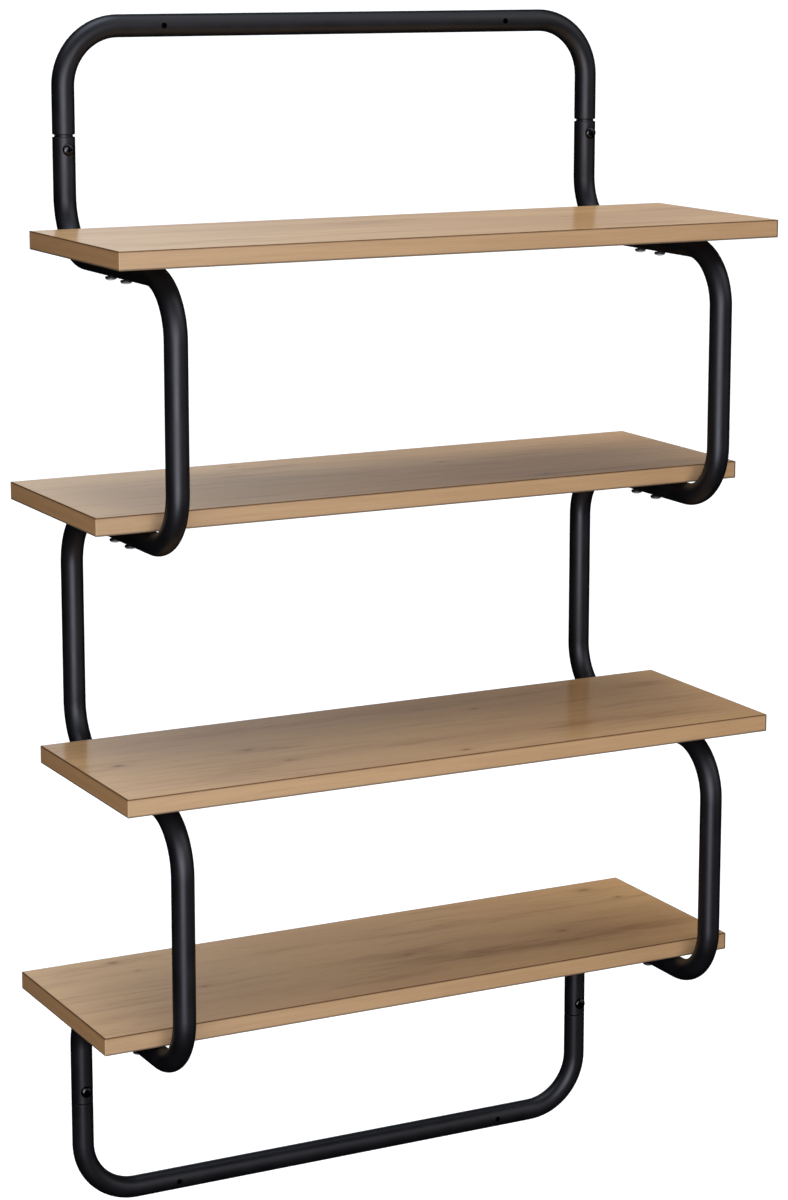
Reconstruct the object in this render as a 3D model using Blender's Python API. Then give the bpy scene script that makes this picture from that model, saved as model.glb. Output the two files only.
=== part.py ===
"""Wall shelf: four laminated boards on a frame of bent round steel tube.

Two serpentine side tubes carry the boards. A bow at the top and one at the bottom join the side
tubes and hold the holes for the wall screws. Metres, +Z up, +Y into the wall, +X to the right for
someone who faces the shelf. The origin is in the wall plane, midway between the two bows' bars.
"""

import math

import bmesh
import bpy
from mathutils import Euler, Matrix, Vector

# Boards
SHELF_LENGTH = 0.600
SHELF_DEPTH = 0.190
SHELF_THICKNESS = 0.015
SHELF_STAGGER = 0.057  # how much further back every second board sits
SHELF_OVERHANG = 0.050  # from the axis of a side tube to the board's end
SHELF_ARRIS = 0.0006  # rounding of the laminate's edges
SHELF_COUNT = 4

# Tube frame
FRAME_HEIGHT = 1.0375  # over the top and bottom bars
TUBE_DIAMETER = 0.019
TUBE_WALL = 0.0015
SIDE_BEND_RADIUS = 0.048  # to the tube's axis
BOW_BEND_RADIUS = 0.049
TOP_BAR_RISE = 0.1615  # from the top board's upper face to the top bar's axis
BOTTOM_BAR_DROP = 0.212  # from the lowest board's upper face to the bottom bar's axis
SEAT_GAP = 0.0003  # between pieces that touch

# Joints between bows and side tubes
BOW_LEG_LENGTH = 0.0872  # full diameter, from the bar's axis
SHOULDER_LENGTH = 0.001  # taper from full diameter to neck
NECK_LENGTH = 0.030
TOP_JOINT_GAP = 0.0018  # left open between shoulder and side tube, where the bottom joint is closed
JOINT_SCREW_SETBACK = 0.0118  # from the shoulder down the neck

# Wall holes in the bars
WALL_HOLE_SETBACK = 0.0875  # from the axis of the nearest side tube
WALL_HOLE_DIAMETER = 0.005

# Screws that hold the boards
SHELF_SCREW_SPACING = 0.032
SHELF_SCREW_SHANK = 0.0045
SHELF_SCREW_HEAD = 0.0095
SHELF_SCREW_HEAD_HEIGHT = 0.0032
SHELF_SCREW_COVER = 0.0045  # board left above a screw's point

# Screws and nuts that hold the joints
JOINT_SCREW_SHANK = 0.005
JOINT_SCREW_HEAD = 0.010
JOINT_SCREW_HEAD_HEIGHT = 0.0030
JOINT_SCREW_TAIL = 0.001  # past the nut
NUT_WIDTH = 0.008  # across flats
NUT_THICKNESS = 0.0045

# Screw heads: shares of the head's own height and diameter
RIM_HEIGHT_SHARE = 0.35
RECESS_DEPTH_SHARE = 0.55
RECESS_SPAN_SHARE = 0.52
RECESS_SLOT_SHARE = 0.13
RECESS_FOOT_SHARE = 0.6  # size of the recess at its foot against its mouth
POINT_LENGTH_SHARE = 0.9  # a screw's or a drill's point against its diameter
ARRIS_PROFILE_SHARE = 0.5  # a round arris
CUT_OVERRUN = 0.004  # how far a cutter passes the surface that it cuts

# Facets
TUBE_SIDES = 12
BEND_STEPS = 6
HOLE_SIDES = 12
SCREW_SIDES = 10
DOME_STEPS = 2
ARRIS_STEPS = 2
SMOOTH_ANGLE = math.radians(35)

# Derived sizes
TUBE_RADIUS = TUBE_DIAMETER / 2
TUBE_BORE_RADIUS = TUBE_RADIUS - TUBE_WALL
NECK_RADIUS = TUBE_BORE_RADIUS - SEAT_GAP
NECK_BORE_RADIUS = NECK_RADIUS - TUBE_WALL
BAR_DISTANCE = FRAME_HEIGHT - TUBE_DIAMETER
SHELF_PITCH = (BAR_DISTANCE - TOP_BAR_RISE - BOTTOM_BAR_DROP) / (SHELF_COUNT - 1)
TOP_BAR_Z = BAR_DISTANCE / 2
BOTTOM_BAR_Z = -BAR_DISTANCE / 2
BACK_AXIS_Y = -TUBE_RADIUS
FRONT_AXIS_Y = -(SHELF_DEPTH + SHELF_STAGGER) + TUBE_RADIUS
SCREW_CENTRE_Y = (BACK_AXIS_Y + FRONT_AXIS_Y) / 2
HALF_WIDTH = SHELF_LENGTH / 2 - SHELF_OVERHANG  # from the middle to the axis of a side tube
SIDES = {"left": -HALF_WIDTH, "right": HALF_WIDTH}
SHELF_SCREW_HOLE_RADIUS = SHELF_SCREW_SHANK / 2 + SEAT_GAP
JOINT_SCREW_HOLE_RADIUS = JOINT_SCREW_SHANK / 2 + SEAT_GAP
NECK_START = BOW_LEG_LENGTH + SHOULDER_LENGTH
TOP_JOINT_REACH = NECK_START + TOP_JOINT_GAP
BOTTOM_JOINT_REACH = NECK_START + SEAT_GAP
JOINT_SCREW_REACH = NECK_START + JOINT_SCREW_SETBACK
SHELF_SCREW_BITE = SHELF_THICKNESS - SHELF_SCREW_COVER


def shelf_top(number):
    """Height of a board's upper face, counting the boards from the top."""
    return TOP_BAR_Z - TOP_BAR_RISE - (number - 1) * SHELF_PITCH


def shelf_is_set_back(number):
    return number % 2 == 0


def shelf_front_y(number):
    return -SHELF_DEPTH - (0 if shelf_is_set_back(number) else SHELF_STAGGER)


def run_z(number):
    """Height of the tube's axis where it runs under a board."""
    return shelf_top(number) - SHELF_THICKNESS - SEAT_GAP - TUBE_RADIUS


# Scene and materials


def clear_scene():
    for item in list(bpy.data.objects):
        bpy.data.objects.remove(item, do_unlink=True)


def finish(name, colour, roughness, metallic):
    """A Principled material with the colour, roughness and metallic value of one sub-part."""
    material = bpy.data.materials.new(name)
    material.use_nodes = True
    shader = material.node_tree.nodes["Principled BSDF"]
    shader.inputs["Base Color"].default_value = (*colour, 1)
    shader.inputs["Roughness"].default_value = roughness
    shader.inputs["Metallic"].default_value = metallic
    return material


def powder_coat():
    return finish("black_powder_coat", (0.016, 0.016, 0.019), 0.42, 0.0)


def oak_laminate():
    return finish("oak_laminate", (0.36, 0.24, 0.14), 0.50, 0.0)


def bright_zinc():
    return finish("bright_zinc", (0.62, 0.62, 0.64), 0.28, 1.0)


def black_zinc():
    return finish("black_zinc", (0.03, 0.03, 0.032), 0.25, 1.0)


def plain_steel():
    return finish("plain_steel", (0.45, 0.45, 0.46), 0.40, 1.0)


# Meshes


def mesh_of(name, shape):
    """Turns a finished bmesh into mesh data with its faces pointing out and round parts smooth."""
    bmesh.ops.recalc_face_normals(shape, faces=shape.faces)
    mesh = bpy.data.meshes.new(name)
    shape.to_mesh(mesh)
    shape.free()
    mesh.shade_smooth()
    mesh.set_sharp_from_angle(angle=SMOOTH_ANGLE)
    return mesh


def place(name, mesh, location=(0, 0, 0), rotation=(0, 0, 0), parent=None):
    item = bpy.data.objects.new(name, mesh)
    item.location = location
    item.rotation_euler = rotation
    item.parent = parent
    bpy.context.scene.collection.objects.link(item)
    return item


def dressed(mesh, material):
    mesh.materials.append(material)
    return mesh


def cutter(name, mesh):
    item = place(name, mesh)
    item.hide_render = True
    item.display_type = "WIRE"
    return item


def boolean(item, tool, operation="DIFFERENCE"):
    change = item.modifiers.new(tool.name, "BOOLEAN")
    change.operation = operation
    change.solver = "EXACT"
    change.object = tool


def baked(name, item):
    """Mesh data with an object's modifiers applied, so that its copies can share the result."""
    bpy.context.view_layer.update()
    graph = bpy.context.evaluated_depsgraph_get()
    mesh = bpy.data.meshes.new_from_object(item.evaluated_get(graph))
    mesh.name = name
    mesh.shade_smooth()
    mesh.set_sharp_from_angle(angle=SMOOTH_ANGLE)
    return mesh


def ring(shape, centre, across, along, radius, count):
    """Vertices on a circle in the plane of two unit vectors. The first one lies on `across`."""
    angles = [math.tau * k / count for k in range(count)]
    return [
        shape.verts.new(centre + radius * (math.cos(a) * across + math.sin(a) * along)) for a in angles
    ]


def bridge(shape, first, second):
    count = len(first)
    for k in range(count):
        n = (k + 1) % count
        shape.faces.new((first[k], first[n], second[n], second[k]))


def turned(shape, profile, sides, frame=None):
    """Adds a solid of revolution about Z. The profile of (radius, height) starts and ends on the axis."""
    frame = frame or Matrix.Identity(4)
    low = shape.verts.new(frame @ Vector((0, 0, profile[0][1])))
    high = shape.verts.new(frame @ Vector((0, 0, profile[-1][1])))
    across = (frame.to_3x3() @ Vector((1, 0, 0))).normalized()
    along = (frame.to_3x3() @ Vector((0, 1, 0))).normalized()
    rings = [
        ring(shape, frame @ Vector((0, 0, height)), across, along, radius, sides)
        for radius, height in profile[1:-1]
    ]
    for lower, upper in zip(rings, rings[1:]):
        bridge(shape, lower, upper)
    for k in range(sides):
        n = (k + 1) % sides
        shape.faces.new((low, rings[0][n], rings[0][k]))
        shape.faces.new((high, rings[-1][k], rings[-1][n]))


# Bent tube


def centre_line(corners, bend_radius):
    """Points and directions along a path that turns square corners on arcs of one radius."""
    start = (corners[0], (corners[1] - corners[0]).normalized())
    stations = [start]
    for before, corner, after in zip(corners, corners[1:], corners[2:]):
        incoming = (corner - before).normalized()
        outgoing = (after - corner).normalized()
        centre = corner + bend_radius * (outgoing - incoming)
        for step in range(BEND_STEPS + 1):
            turn = math.pi / 2 * step / BEND_STEPS
            point = centre + bend_radius * (math.sin(turn) * incoming - math.cos(turn) * outgoing)
            stations.append((point, math.cos(turn) * incoming + math.sin(turn) * outgoing))
    stations.append((corners[-1], (corners[-1] - corners[-2]).normalized()))
    return stations


def tube_mesh(name, stations, side, radii):
    """A hollow tube, open at both ends, along stations that lie in the plane square to `side`."""
    shape = bmesh.new()
    outer, inner = [], []
    for (point, direction), radius in zip(stations, radii):
        up = direction.cross(side)
        outer.append(ring(shape, point, side, up, radius, TUBE_SIDES))
        inner.append(ring(shape, point, side, up, radius - TUBE_WALL, TUBE_SIDES))
    for rings in (outer, inner):
        for first, second in zip(rings, rings[1:]):
            bridge(shape, first, second)
    bridge(shape, outer[0], inner[0])
    bridge(shape, outer[-1], inner[-1])
    return mesh_of(name, shape)


def side_tube_mesh():
    """The serpentine: forward under each odd board, back under each even one."""
    corners = [Vector((0, BACK_AXIS_Y, TOP_BAR_Z - TOP_JOINT_REACH))]
    for number in range(1, SHELF_COUNT + 1):
        runs = (BACK_AXIS_Y, FRONT_AXIS_Y)
        if shelf_is_set_back(number):
            runs = runs[::-1]
        corners += [Vector((0, y, run_z(number))) for y in runs]
    corners.append(Vector((0, corners[-1].y, BOTTOM_BAR_Z + BOTTOM_JOINT_REACH)))
    stations = centre_line(corners, SIDE_BEND_RADIUS)
    return tube_mesh("side_tube", stations, Vector((1, 0, 0)), [TUBE_RADIUS] * len(stations))


def bow_mesh():
    """A bow with its bar along X at the origin, its legs down and their ends swaged to necks."""
    down = Vector((0, 0, -1))
    tops = [Vector((x, 0, 0)) for x in SIDES.values()]
    feet = [top + BOW_LEG_LENGTH * down for top in tops]
    corners = [feet[0], *tops, feet[1]]
    stations = centre_line(corners, BOW_BEND_RADIUS)
    radii = [TUBE_RADIUS] * len(stations)
    for length in (SHOULDER_LENGTH, SHOULDER_LENGTH + NECK_LENGTH):
        stations.insert(0, (feet[0] + length * down, -down))
        stations.append((feet[1] + length * down, down))
        radii = [NECK_RADIUS, *radii, NECK_RADIUS]
    return tube_mesh("bow", stations, Vector((0, 1, 0)), radii)


# Drilled holes


def drill_profile(radius, low, high):
    """A flat-ended cylinder from one height to another."""
    return [(0, low), (radius, low), (radius, high), (0, high)]


def along_y(x, y, z):
    """Turns local +Z into world +Y and moves the origin to a place."""
    return Matrix.Translation((x, y, z)) @ Euler((-math.pi / 2, 0, 0)).to_matrix().to_4x4()


def joint_places():
    """Name, x and z of the four joint screws."""
    heights = {"top": TOP_BAR_Z - JOINT_SCREW_REACH, "bottom": BOTTOM_BAR_Z + JOINT_SCREW_REACH}
    return [(f"{end}_{side}", x, z) for end, z in heights.items() for side, x in SIDES.items()]


def shelf_screw_places(number):
    """Name, x and y of the four screws under a board."""
    rows = {
        "front": SCREW_CENTRE_Y - SHELF_SCREW_SPACING / 2,
        "back": SCREW_CENTRE_Y + SHELF_SCREW_SPACING / 2,
    }
    return [(f"{number}_{side}_{row}", x, y) for side, x in SIDES.items() for row, y in rows.items()]


def joint_drill():
    """Cuts only the front wall of the side tubes and of the necks inside them."""
    shape = bmesh.new()
    profile = drill_profile(JOINT_SCREW_HOLE_RADIUS, -TUBE_RADIUS - CUT_OVERRUN, 0)
    for _, x, z in joint_places():
        turned(shape, profile, HOLE_SIDES, along_y(x, BACK_AXIS_Y, z))
    return cutter("joint_drill", mesh_of("joint_drill", shape))


def wall_drill():
    """Cuts both walls of the bars, where the wall screws pass."""
    shape = bmesh.new()
    reach = TUBE_RADIUS + CUT_OVERRUN
    profile = drill_profile(WALL_HOLE_DIAMETER / 2, -reach, reach)
    hole_x = HALF_WIDTH - WALL_HOLE_SETBACK
    for z in (TOP_BAR_Z, BOTTOM_BAR_Z):
        for x in (-hole_x, hole_x):
            turned(shape, profile, HOLE_SIDES, along_y(x, BACK_AXIS_Y, z))
    return cutter("wall_drill", mesh_of("wall_drill", shape))


def shelf_drill(number):
    """Cuts through the tubes under one board and on into the board, with a drill's point."""
    shape = bmesh.new()
    radius = SHELF_SCREW_HOLE_RADIUS
    low = run_z(number) - TUBE_RADIUS - CUT_OVERRUN
    high = shelf_top(number) - SHELF_THICKNESS + SHELF_SCREW_BITE
    point = SHELF_SCREW_SHANK * POINT_LENGTH_SHARE
    profile = [(0, low), (radius, low), (radius, high - point + SEAT_GAP), (0, high + SEAT_GAP)]
    for _, x, y in shelf_screw_places(number):
        turned(shape, profile, HOLE_SIDES, Matrix.Translation((x, y, 0)))
    name = f"shelf_drill_{number}"
    return cutter(name, mesh_of(name, shape))


# Boards


def board_mesh():
    """A board with its upper face at Z 0, its front at Y 0 and its middle at X 0."""
    shape = bmesh.new()
    bmesh.ops.create_cube(shape, size=1)
    bmesh.ops.scale(shape, vec=(SHELF_LENGTH, SHELF_DEPTH, SHELF_THICKNESS), verts=shape.verts)
    bmesh.ops.translate(shape, vec=(0, SHELF_DEPTH / 2, -SHELF_THICKNESS / 2), verts=shape.verts)
    bmesh.ops.bevel(
        shape,
        geom=shape.edges[:],
        offset=SHELF_ARRIS,
        segments=ARRIS_STEPS,
        profile=ARRIS_PROFILE_SHARE,
        affect="EDGES",
        clamp_overlap=True,
    )
    return mesh_of("board", shape)


# Screws and nuts


def head_profile(diameter, height):
    """A pan head below Z 0: a domed top, a straight rim and a flat bearing face."""
    radius = diameter / 2
    rim = height * RIM_HEIGHT_SHARE
    dome = height - rim
    profile = [(0, -height)]
    for step in range(1, DOME_STEPS + 1):
        turn = math.pi / 2 * step / DOME_STEPS
        profile.append((radius * math.sin(turn), -rim - dome * math.cos(turn)))
    return [*profile, (radius, 0)]


def cross_recess(diameter, height):
    """A tapered cross that cuts a driver's recess into a pan head."""
    arm = diameter * RECESS_SPAN_SHARE / 2
    slot = diameter * RECESS_SLOT_SHARE / 2
    corner = [(arm, -slot), (arm, slot), (slot, slot)]
    outline = []
    for quarter in range(4):
        turn = Matrix.Rotation(quarter * math.pi / 2, 2)
        outline += [turn @ Vector(point) for point in corner]
    foot_z = -height * (1 - RECESS_DEPTH_SHARE)
    shape = bmesh.new()
    levels = ((-height - CUT_OVERRUN, 1), (-height, 1), (foot_z, RECESS_FOOT_SHARE))
    rings = [[shape.verts.new((p.x * size, p.y * size, z)) for p in outline] for z, size in levels]
    for first, second in zip(rings, rings[1:]):
        bridge(shape, first, second)
    shape.faces.new(rings[0])
    shape.faces.new(rings[-1])
    return cutter("cross_recess", mesh_of("cross_recess", shape))


def screw_mesh(name, head, head_height, shank, length, pointed):
    """A pan-head screw with its bearing face at Z 0 and its shank along +Z."""
    shape = bmesh.new()
    point = shank * POINT_LENGTH_SHARE if pointed else 0
    tail = [(shank / 2, 0), (shank / 2, length - point), (0, length)]
    turned(shape, head_profile(head, head_height) + tail, SCREW_SIDES)
    blank = place(f"{name}_blank", mesh_of(name, shape))
    recess = cross_recess(head, head_height)
    boolean(blank, recess)
    mesh = baked(name, blank)
    bpy.data.objects.remove(blank)
    bpy.data.objects.remove(recess)
    return mesh


def shelf_screw_mesh():
    length = SEAT_GAP + TUBE_DIAMETER + SEAT_GAP + SHELF_SCREW_BITE
    head, height = SHELF_SCREW_HEAD, SHELF_SCREW_HEAD_HEIGHT
    return screw_mesh("shelf_screw", head, height, SHELF_SCREW_SHANK, length, True)


def joint_screw_mesh():
    nut_end = TUBE_RADIUS - NECK_BORE_RADIUS + NUT_THICKNESS
    length = SEAT_GAP + nut_end + JOINT_SCREW_TAIL
    head, height = JOINT_SCREW_HEAD, JOINT_SCREW_HEAD_HEIGHT
    return screw_mesh("joint_screw", head, height, JOINT_SCREW_SHANK, length, False)


def nut_mesh():
    """A hexagon nut along Y whose outer end is saddled to the bore of the neck at X 0, Y 0."""
    shape = bmesh.new()
    hexagon = 6
    corner = NUT_WIDTH / 2 / math.cos(math.pi / hexagon)
    low, high = -NECK_BORE_RADIUS, -NECK_BORE_RADIUS + NUT_THICKNESS
    turned(shape, drill_profile(corner, low, high), hexagon, along_y(0, 0, 0))
    blank = place("nut_blank", mesh_of("nut", shape))
    tools = []
    for name, radius, operation, frame in (
        ("nut_saddle", NECK_BORE_RADIUS - SEAT_GAP, "INTERSECT", Matrix.Identity(4)),
        ("nut_bore", JOINT_SCREW_HOLE_RADIUS, "DIFFERENCE", along_y(0, 0, 0)),
    ):
        tool_shape = bmesh.new()
        reach = NECK_BORE_RADIUS + CUT_OVERRUN
        turned(tool_shape, drill_profile(radius, -reach, reach), TUBE_SIDES, frame)
        tools.append(cutter(name, mesh_of(name, tool_shape)))
        boolean(blank, tools[-1], operation)
    mesh = baked("joint_nut", blank)
    for item in (blank, *tools):
        bpy.data.objects.remove(item)
    return mesh


# Assembly


def add_frame(drills, parent):
    """Both side tubes and both bows, drilled for every screw."""
    joints, walls, coat = joint_drill(), wall_drill(), powder_coat()
    tube, bow = dressed(side_tube_mesh(), coat), dressed(bow_mesh(), coat)
    for side, x in SIDES.items():
        item = place(f"side_tube_{side}", tube, (x, 0, 0), parent=parent)
        for tool in (joints, *drills):
            boolean(item, tool)
    for name, z, turn in (("top_bow", TOP_BAR_Z, 0), ("bottom_bow", BOTTOM_BAR_Z, math.pi)):
        item = place(name, bow, (0, BACK_AXIS_Y, z), (0, turn, 0), parent)
        for tool in (joints, walls):
            boolean(item, tool)


def add_boards(drills, parent):
    board = dressed(board_mesh(), oak_laminate())
    for number, drill in enumerate(drills, 1):
        location = (0, shelf_front_y(number), shelf_top(number))
        boolean(place(f"shelf_{number}", board, location, parent=parent), drill)


def add_shelf_screws(parent):
    screw = dressed(shelf_screw_mesh(), bright_zinc())
    for number in range(1, SHELF_COUNT + 1):
        z = run_z(number) - TUBE_RADIUS - SEAT_GAP
        for name, x, y in shelf_screw_places(number):
            place(f"shelf_screw_{name}", screw, (x, y, z), parent=parent)


def add_joint_hardware(parent):
    screw, nut = dressed(joint_screw_mesh(), black_zinc()), dressed(nut_mesh(), plain_steel())
    face_y = BACK_AXIS_Y - TUBE_RADIUS - SEAT_GAP
    for name, x, z in joint_places():
        place(f"joint_screw_{name}", screw, (x, face_y, z), (-math.pi / 2, 0, 0), parent)
        place(f"joint_nut_{name}", nut, (x, BACK_AXIS_Y, z), parent=parent)


def main():
    clear_scene()
    root = place("wall_shelf", None)
    drills = [shelf_drill(number) for number in range(1, SHELF_COUNT + 1)]
    add_frame(drills, root)
    add_boards(drills, root)
    add_shelf_screws(root)
    add_joint_hardware(root)


main()
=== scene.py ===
"""Looks of the wall shelf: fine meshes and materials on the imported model, with its camera and light.

Metres, +Z up, +Y into the wall, as in the model. Boards, tubes and screws are remade with fine curves
in the places of their nodes, and every surface has a procedural material.
"""

import math

import bmesh
import bpy
from mathutils import Euler, Matrix, Vector


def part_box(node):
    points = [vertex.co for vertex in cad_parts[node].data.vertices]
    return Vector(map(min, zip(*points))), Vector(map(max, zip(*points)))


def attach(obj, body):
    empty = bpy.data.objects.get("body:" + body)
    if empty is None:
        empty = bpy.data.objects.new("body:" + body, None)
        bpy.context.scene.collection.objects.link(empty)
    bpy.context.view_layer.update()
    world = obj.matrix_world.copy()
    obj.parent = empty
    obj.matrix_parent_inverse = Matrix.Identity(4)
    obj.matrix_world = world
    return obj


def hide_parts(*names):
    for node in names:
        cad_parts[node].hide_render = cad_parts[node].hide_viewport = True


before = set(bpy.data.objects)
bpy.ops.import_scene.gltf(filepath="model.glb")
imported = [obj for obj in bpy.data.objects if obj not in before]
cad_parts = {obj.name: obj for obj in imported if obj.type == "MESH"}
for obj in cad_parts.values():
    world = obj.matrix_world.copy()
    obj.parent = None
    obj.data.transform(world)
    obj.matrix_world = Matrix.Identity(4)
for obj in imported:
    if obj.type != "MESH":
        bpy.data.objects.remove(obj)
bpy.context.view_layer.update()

# Sizes, as in the model
TUBE_RADIUS = 0.0095
TUBE_WALL = 0.0015
SIDE_BEND_RADIUS = 0.048
BOW_BEND_RADIUS = 0.049
SEAT_GAP = 0.0003
BOW_LEG_LENGTH = 0.0872
SHOULDER_LENGTH = 0.001
NECK_LENGTH = 0.030
TOP_JOINT_GAP = 0.0018
JOINT_SCREW_SETBACK = 0.0118
WALL_HOLE_X = 0.1625
WALL_HOLE_RADIUS = 0.0025
SHELF_SCREW_SPACING = 0.032
SHELF_SCREW_SHANK = 0.0045
SHELF_SCREW_HEAD = 0.0095
SHELF_SCREW_HEAD_HEIGHT = 0.0032
SHELF_SCREW_COVER = 0.0045
JOINT_SCREW_SHANK = 0.005
JOINT_SCREW_HEAD = 0.010
JOINT_SCREW_HEAD_HEIGHT = 0.0030
BOARD_ARRIS = 0.0006
SHELF_COUNT = 4
CUT_OVERRUN = 0.004

# Screw heads and points: shares of the head's own height or diameter, or of the shank's diameter
HEAD_RIM_SHARE = 0.35
HEAD_LIP_SHARE = 0.06
HEAD_DOME_POWER = 0.85  # under 1 makes the dome fuller than a ball's
RECESS_SPAN_SHARE = 0.52
RECESS_SLOT_SHARE = 0.13
RECESS_DEPTH_SHARE = 0.55
RECESS_FOOT_SHARE = 0.6  # size of the recess at its foot against its mouth
POINT_LENGTH_SHARE = 0.9
SCREW_TURN = 1.1  # from one screw's recess to the next, in radians

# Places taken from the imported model
TOP_BAR_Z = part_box("top_bow")[1].z - TUBE_RADIUS
BOTTOM_BAR_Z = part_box("bottom_bow")[0].z + TUBE_RADIUS
BACK_AXIS_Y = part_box("top_bow")[1].y - TUBE_RADIUS
FRONT_AXIS_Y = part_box("side_tube_left")[0].y + TUBE_RADIUS
SIDES = {s: sum(c.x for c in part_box(f"side_tube_{s}")) / 2 for s in ("left", "right")}
BOARDS = {number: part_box(f"shelf_{number}") for number in range(1, SHELF_COUNT + 1)}
BOARD_SIZE = BOARDS[1][1] - BOARDS[1][0]
NECK_RADIUS = TUBE_RADIUS - TUBE_WALL - SEAT_GAP
NECK_START = BOW_LEG_LENGTH + SHOULDER_LENGTH
TOP_MOUTH_Z = TOP_BAR_Z - NECK_START - TOP_JOINT_GAP
BOTTOM_MOUTH_Z = BOTTOM_BAR_Z + NECK_START + SEAT_GAP
JOINT_Z = {
    "top": TOP_BAR_Z - NECK_START - JOINT_SCREW_SETBACK,
    "bottom": BOTTOM_BAR_Z + NECK_START + JOINT_SCREW_SETBACK,
}
SCREW_MIDDLE_Y = (BACK_AXIS_Y + FRONT_AXIS_Y) / 2

# Fineness
TUBE_SIDES = 48
BEND_STEPS = 20
HOLE_SIDES = 32
HEAD_SIDES = 40
DOME_STEPS = 8
ARRIS_STEPS = 4
ARRIS_PROFILE_SHARE = 0.5  # a round arris
SHOULDER_POWER = 2.5  # over 1 lets the shoulder leave the tube smoothly
HOLE_MARGINS = (-0.0045, -0.0032, 0.0032, 0.0045)
END_MARGIN = 0.0005
MOUTH_ROUNDING = 0.0003
SMOOTH_ANGLE = math.radians(35)
FLAT = 0.999  # a normal this close to an axis belongs to a flat face

# The camera, solved from the photograph at 788 by 1200 pixels
IMAGE_WIDTH = 788
IMAGE_HEIGHT = 1200
FOCAL_PIXELS = 3139.5
CENTRE_PIXEL_X = 412.5
CENTRE_PIXEL_Y = 536.5
CAMERA_PLACE = (-1.2055, -2.4541, 0.5864)
CAMERA_YAW = math.radians(27.6632)
CAMERA_PITCH = math.radians(10.9108)
CAMERA_ROLL = math.radians(0.0863)
SENSOR_WIDTH = 36
CLIP_NEAR = 0.05
CLIP_FAR = 1000


def run_z(number):
    """Height of the tube's axis where it runs under a board."""
    return BOARDS[number][0].z - SEAT_GAP - TUBE_RADIUS


def screw_rows():
    """Places of the front and the back screw of each pair along Y."""
    half = SHELF_SCREW_SPACING / 2
    return {"front": SCREW_MIDDLE_Y - half, "back": SCREW_MIDDLE_Y + half}


# Mesh helpers


def link(name, data, place=(0, 0, 0), turn=(0, 0, 0)):
    """An object with a mesh, lamp or camera, in the scene."""
    item = bpy.data.objects.new(name, data)
    item.location = place
    item.rotation_euler = turn
    bpy.context.scene.collection.objects.link(item)
    return item


def mesh_of(name, shape, smooth=True):
    """Turns a bmesh into a mesh, and frees it."""
    bmesh.ops.recalc_face_normals(shape, faces=shape.faces)
    mesh = bpy.data.meshes.new(name)
    shape.to_mesh(mesh)
    shape.free()
    if smooth:
        mesh.shade_smooth()
        mesh.set_sharp_from_angle(angle=SMOOTH_ANGLE)
    return mesh


def ring(shape, centre, across, along, radius, count):
    """A circle of new vertices."""
    turns = [math.tau * step / count for step in range(count)]
    return [
        shape.verts.new(centre + radius * (math.cos(turn) * across + math.sin(turn) * along))
        for turn in turns
    ]


def bridge(shape, first, second):
    """A band of faces between two rings."""
    count = len(first)
    for here in range(count):
        after = (here + 1) % count
        shape.faces.new((first[here], first[after], second[after], second[here]))


def turned(shape, profile, sides, frame_matrix):
    """Adds a solid of revolution about local Z. The profile of (radius, height) ends on the axis."""
    low = shape.verts.new(frame_matrix @ Vector((0, 0, profile[0][1])))
    high = shape.verts.new(frame_matrix @ Vector((0, 0, profile[-1][1])))
    across = (frame_matrix.to_3x3() @ Vector((1, 0, 0))).normalized()
    along = (frame_matrix.to_3x3() @ Vector((0, 1, 0))).normalized()
    rings = [
        ring(shape, frame_matrix @ Vector((0, 0, height)), across, along, radius, sides)
        for radius, height in profile[1:-1]
    ]
    for lower, upper in zip(rings, rings[1:]):
        bridge(shape, lower, upper)
    for here in range(sides):
        after = (here + 1) % sides
        shape.faces.new((low, rings[0][after], rings[0][here]))
        shape.faces.new((high, rings[-1][here], rings[-1][after]))


def cut(item, *drills):
    """Cuts the drills out of a piece and keeps the result as plain mesh data."""
    for drill in drills:
        change = item.modifiers.new(drill.name, "BOOLEAN")
        change.operation = "DIFFERENCE"
        change.solver = "EXACT"
        change.object = drill
    bpy.context.view_layer.update()
    graph = bpy.context.evaluated_depsgraph_get()
    mesh = bpy.data.meshes.new_from_object(item.evaluated_get(graph))
    item.modifiers.clear()
    mesh.name = item.data.name + "_cut"
    mesh.shade_smooth()
    mesh.set_sharp_from_angle(angle=SMOOTH_ANGLE)
    item.data = mesh
    return item


def dress(piece, node_name, *materials):
    """Gives a piece its materials and puts it in the place of a node."""
    if not piece.data.materials:
        for material in materials:
            piece.data.materials.append(material)
    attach(piece, "root")
    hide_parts(node_name)
    return piece


# Drills


def along_y(x, y, z):
    """Puts local Z along +Y at a point."""
    return Matrix.Translation((x, y, z)) @ Euler((-math.pi / 2, 0, 0)).to_matrix().to_4x4()


def cylinder_profile(radius, low, high):
    """Half outline of a cylinder, from its foot to its top."""
    return [(0, low), (radius, low), (radius, high), (0, high)]


def drill_object(name, shape):
    """An object that only cuts others."""
    item = link(name, mesh_of(name, shape))
    item.hide_render = True
    return item


def wall_drill():
    """The wall screws' holes, through both bars."""
    shape = bmesh.new()
    reach = TUBE_RADIUS + CUT_OVERRUN
    profile = cylinder_profile(WALL_HOLE_RADIUS, -reach, reach)
    for z in (TOP_BAR_Z, BOTTOM_BAR_Z):
        for x in (-WALL_HOLE_X, WALL_HOLE_X):
            turned(shape, profile, HOLE_SIDES, along_y(x, BACK_AXIS_Y, z))
    return drill_object("wall_drill", shape)


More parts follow.
